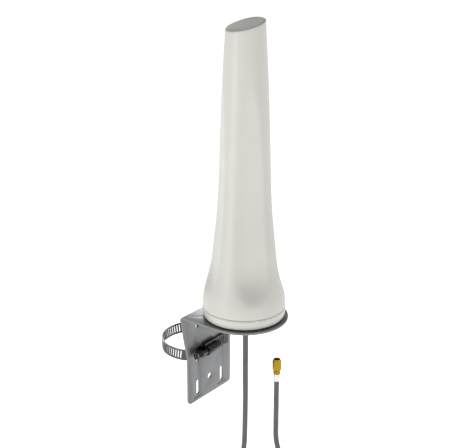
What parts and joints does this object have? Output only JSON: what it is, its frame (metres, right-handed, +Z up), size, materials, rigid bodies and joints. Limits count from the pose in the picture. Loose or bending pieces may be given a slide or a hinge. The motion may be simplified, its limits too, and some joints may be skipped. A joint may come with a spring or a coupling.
{
  "type": "omnidirectional antenna",
  "caption": "Upright fluted bell antenna on a folded steel shelf bracket with a worm-drive pole clamp and a trailing coax lead, for outdoor radio links",
  "frame": {"origin": "centre of the lower fixing hole, on the bracket face that meets the wall", "axes": "+X along the bracket plate, +Y out of the back of the bracket into the wall or pole, +Z up the antenna"},
  "size_m": [0.088, 0.1458, 0.5353],
  "materials": {
    "bracket_steel": "cold rolled sheet steel, dull grey, fine grain",
    "white_plastic": "moulded off-white plastic, satin",
    "rubber": "black rubber, matt",
    "stainless": "rolled stainless strip, bright",
    "nickel": "nickel plated brass, bright",
    "gold": "gold plated brass, bright",
    "cable_jacket": "black-grey PVC jacket, satin",
    "ferrite": "sintered ferrite, dark grey",
    "board_laminate": "glass epoxy board with green mask",
    "copper": "bare copper sheet",
    "solder": "solder, bright grey",
    "black_plastic": "black moulded nylon",
    "foam": "white closed-cell foam",
    "ptfe": "white PTFE"
  },
  "bodies": {
    "antenna": {"mounting_bracket": "bracket_steel", "base_gasket": "rubber", "base_housing": "white_plastic", "radome_seal": "rubber", "radome": "white_plastic", "mounting_spigot": "nickel", "flat_washer": "stainless", "lock_washer": "stainless", "jam_nut": "nickel", "cable_grommet": "rubber", "inner_coax": "cable_jacket", "ferrite_beads": "ferrite", "antenna_board": "board_laminate", "upper_radiator": "copper", "lower_radiator": "copper", "feed_solder": "solder", "board_holder": "black_plastic", "base_screws": "stainless", "board_screws": "stainless", "foam_spacer_lower": "foam", "foam_spacer_upper": "foam", "connector_body": "gold", "crimp_ferrule": "nickel", "snap_ring": "stainless", "connector_gasket": "rubber", "connector_insulator": "ptfe", "centre_pin": "gold", "clamp_band": "stainless", "clamp_housing": "stainless", "cable_drop": "cable_jacket", "cable_coil": "cable_jacket", "cable_rise": "cable_jacket", "coil_ties": "black_plastic"},
    "nut": {"coupling_nut": "gold"},
    "screw": {"clamp_screw": "stainless"}
  },
  "joints": [
    {"name": "nut_spin", "type": "hinge", "parent": "antenna", "child": "nut", "pos_m": [0.021, -0.0727, 0.0272], "axis": [0, 0, 1], "continuous": true},
    {"name": "screw_turn", "type": "hinge", "parent": "antenna", "child": "screw", "pos_m": [0, -0.0079, 0.0352], "axis": [1, 0, 0], "continuous": true}
  ]
}
